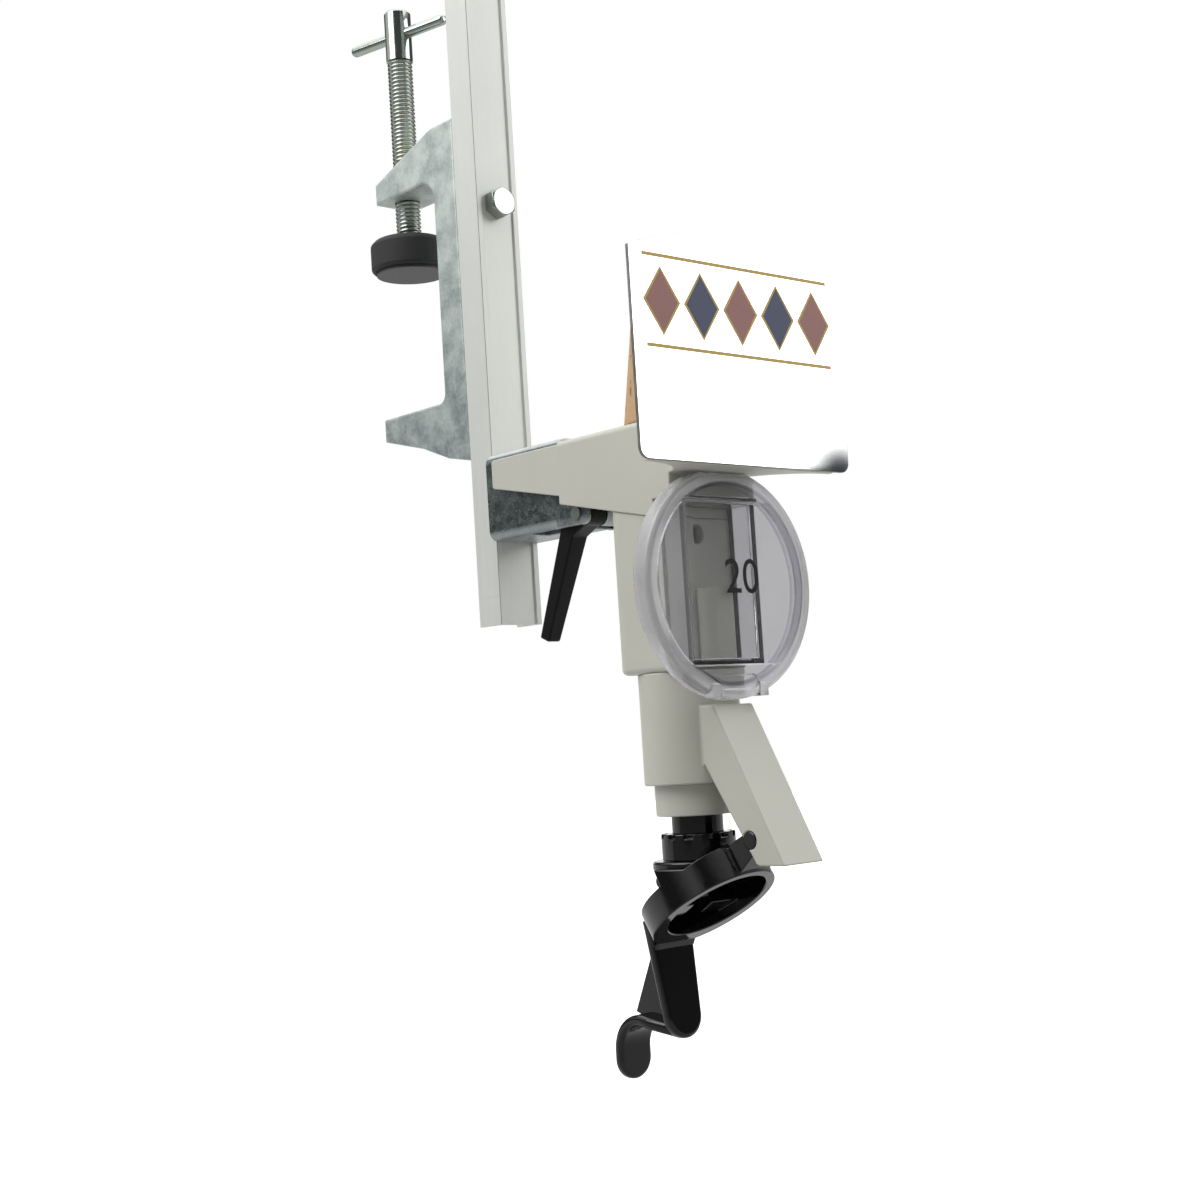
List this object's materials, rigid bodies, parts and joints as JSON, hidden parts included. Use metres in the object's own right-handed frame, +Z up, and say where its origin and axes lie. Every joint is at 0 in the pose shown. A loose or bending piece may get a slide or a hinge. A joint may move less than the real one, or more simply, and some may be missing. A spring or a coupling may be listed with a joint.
{
  "type": "bottle optic on a clamp stand",
  "caption": "Bar optic that pours a set measure from an inverted bottle when its lever is pushed, with a clear chamber, cork and sign plate, held by a cam bracket on a shelf-clamp rail.",
  "frame": {"origin": "on the clamp's lower jaw, where the shelf's underside rests, below the clamp screw's axis", "axes": "+Z up along the clamp screw and the rail, the optic towards -Y, X across the sign"},
  "size_m": [0.0746, 0.1667, 0.3352],
  "materials": {
    "rail": "satin",
    "casting": "mottled zinc coat",
    "zinc": "bright zinc",
    "galvanised": "speckled galvanised",
    "foot_rubber": "matte",
    "foot_disc": "matte",
    "black_satin": "satin",
    "black_gloss": "gloss",
    "grey_plastic": "satin",
    "clear_plastic": "clear",
    "sign": "mirror-bright with a printed panel",
    "seal_rubber": "matte",
    "cork": "raw cork"
  },
  "bodies": {
    "stand": {"rail": "rail", "clamp_frame": "casting", "clamp_bolt": "zinc", "bracket": "galvanised", "bracket_screw": "zinc", "rail_nut": "zinc", "cam_pin": "zinc", "cam_spacers": "zinc", "arm": "grey_plastic", "sign_plate": "sign", "sign_tape": "seal_rubber", "cork": "cork", "inlet_tube": "grey_plastic", "housing": "grey_plastic", "chamber": "clear_plastic", "chamber_gasket": "seal_rubber", "standpipe": "grey_plastic", "valve_tube": "grey_plastic", "tube_bush": "grey_plastic", "stem_seal": "seal_rubber", "spring_washer": "zinc", "valve_spring": "zinc"},
    "foot": {"foot_pad": "foot_rubber", "foot_disc": "foot_disc"},
    "screw": {"clamp_screw": "zinc"},
    "bar": {"tommy_bar": "zinc"},
    "cam": {"cam_lever": "black_satin"},
    "lever": {"push_lever": "black_gloss"},
    "valve": {"nozzle": "black_gloss", "nozzle_collar": "black_gloss", "valve_rod": "zinc", "upper_rod_seal": "seal_rubber", "lower_rod_seal": "seal_rubber"}
  },
  "joints": [
    {"name": "foot_slide", "type": "slide", "parent": "stand", "child": "foot", "axis": [0, 0, 1], "range_m": [-0.03375, 0.00875]},
    {"name": "screw_turn", "type": "hinge", "parent": "foot", "child": "screw", "pos_m": [0, 0, 0.0886], "axis": [0, 0, 1], "range_deg": [-9720, 2520]},
    {"name": "bar_slide", "type": "slide", "parent": "screw", "child": "bar", "axis": [-0.2079, 0.9781, 0], "range_m": [-0.013, 0.013]},
    {"name": "cam_swing", "type": "hinge", "parent": "stand", "child": "cam", "pos_m": [-0.0046, -0.0827, -0.0413], "axis": [1, 0, 0], "range_deg": [-40, 0]},
    {"name": "lever_push", "type": "hinge", "parent": "stand", "child": "lever", "pos_m": [0, -0.1365, -0.1293], "axis": [1, 0, 0], "range_deg": [0, 9.5]},
    {"name": "valve_rise", "type": "slide", "parent": "stand", "child": "valve", "axis": [0, 0, 1], "range_m": [0, 0.0044], "stiffness_N_per_m": 60, "springref_m": -0.004, "deforming": ["valve_spring"]}
  ],
  "couplings": [
    {"joint": "screw_turn", "follows": "foot_slide", "rad_per_m": 5026.5},
    {"joint": "valve_rise", "follows": "lever_push", "m_per_rad": 0.0252}
  ]
}
